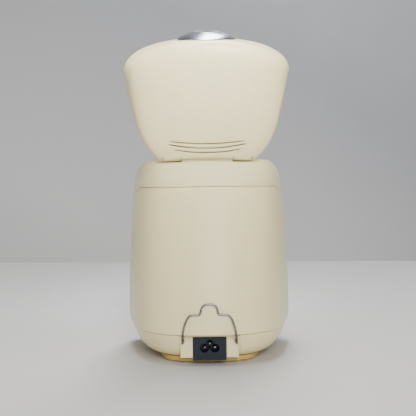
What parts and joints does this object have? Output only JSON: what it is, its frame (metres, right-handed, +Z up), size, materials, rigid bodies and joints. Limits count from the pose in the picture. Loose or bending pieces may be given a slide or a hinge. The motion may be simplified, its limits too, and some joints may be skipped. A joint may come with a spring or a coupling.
{
  "type": "rice cooker",
  "caption": "Compact countertop cooker with a flip-up lid on a rear hinge, a lift-out pot, a lid release dome, a front key panel and a rear mains inlet with a wire plug bail.",
  "frame": {"origin": "middle of the footprint's bounding box, on the table under the feet", "axes": "+Z up; the key panel faces -Y and the hinge, inlet and bail are on the +Y side; +X is to the right of someone facing the panel"},
  "size_m": [0.176, 0.1825, 0.323],
  "materials": {
    "cream_plastic": "satin",
    "cream_liner": "matte",
    "ochre_plastic": "satin",
    "brushed_metal": "brushed",
    "steel": "satin",
    "bare_aluminium": "satin",
    "non_stick": "matte",
    "navy_plastic": "satin",
    "black_gloss": "gloss",
    "display_lens": "gloss",
    "circuit_board": "satin",
    "silicone": "matte",
    "rubber": "matte"
  },
  "bodies": {
    "cooker_body": {"base_pan": "cream_plastic", "board_rail_left": "cream_liner", "board_rail_right": "cream_liner", "catch_plate": "steel", "control_board": "circuit_board", "control_panel": "black_gloss", "display_window": "display_lens", "foot_front_left": "rubber", "foot_front_right": "rubber", "foot_rear_left": "rubber", "foot_rear_right": "rubber", "foot_ring": "ochre_plastic", "heat_shield": "bare_aluminium", "heating_plate": "bare_aluminium", "hinge_pin": "steel", "inlet_bay": "cream_plastic", "inlet_pin_earth": "steel", "inlet_pin_line": "steel", "inlet_pin_neutral": "steel", "inlet_socket": "navy_plastic", "inner_deck": "cream_liner", "lid_spring": "steel", "main_shell": "cream_plastic", "power_board": "circuit_board", "sensor_carrier": "steel", "sensor_spring": "steel", "top_collar": "cream_plastic"},
    "lid": {"lid_shell": "cream_plastic", "knuckle_left": "cream_plastic", "knuckle_right": "cream_plastic", "lid_liner": "cream_liner", "steam_valve": "cream_liner", "button_trim_ring": "brushed_metal", "button_housing": "cream_liner", "button_spring": "steel"},
    "inner_lid": {"inner_lid_plate": "bare_aluminium", "pot_gasket": "silicone"},
    "pot": {"inner_pot": "non_stick"},
    "lid_release": {"release_button": "brushed_metal", "latch_hook": "steel"},
    "menu_key": {"menu_button": "brushed_metal"},
    "start_key": {"start_button": "brushed_metal"},
    "timer_key": {"timer_button": "brushed_metal"},
    "bail": {"plug_bail": "steel"},
    "sensor": {"thermal_sensor": "bare_aluminium"}
  },
  "joints": [
    {"name": "lid_hinge", "type": "hinge", "parent": "cooker_body", "child": "lid", "pos_m": [0, 0.05975, 0.202], "axis": [1, 0, 0], "range_deg": [0, 92], "stiffness_Nm_per_rad": 0.1, "springref_deg": -34.38, "deforming": ["lid_spring"]},
    {"name": "inner_lid_pull_off", "type": "slide", "parent": "lid", "child": "inner_lid", "axis": [0, 0.9994, 0.0349], "range_m": [-0.126, 0]},
    {"name": "pot_lift", "type": "slide", "parent": "cooker_body", "child": "pot", "axis": [0, 0, -1], "range_m": [-0.038, 0]},
    {"name": "release_press", "type": "slide", "parent": "lid", "child": "lid_release", "axis": [0, -0.2554, -0.9668], "range_m": [0, 0.0025], "stiffness_N_per_m": 600, "springref_m": -0.0015, "deforming": ["button_spring"]},
    {"name": "menu_press", "type": "slide", "parent": "cooker_body", "child": "menu_key", "axis": [0, 0.9635, -0.2678], "range_m": [0, 0.0015], "stiffness_N_per_m": 400, "springref_m": -0.001},
    {"name": "start_press", "type": "slide", "parent": "cooker_body", "child": "start_key", "axis": [0, 0.9635, -0.2678], "range_m": [0, 0.0015], "stiffness_N_per_m": 400, "springref_m": -0.001},
    {"name": "timer_press", "type": "slide", "parent": "cooker_body", "child": "timer_key", "axis": [0, 0.9635, -0.2678], "range_m": [0, 0.0015], "stiffness_N_per_m": 400, "springref_m": -0.001},
    {"name": "bail_hinge", "type": "hinge", "parent": "cooker_body", "child": "bail", "pos_m": [0, 0.06215, 0.0215], "axis": [-1, 0, 0], "range_deg": [0, 95]},
    {"name": "sensor_travel", "type": "slide", "parent": "cooker_body", "child": "sensor", "axis": [0, 0, 1], "range_m": [-0.003, 0], "stiffness_N_per_m": 300, "springref_m": 0.001, "deforming": ["sensor_spring"]}
  ]
}
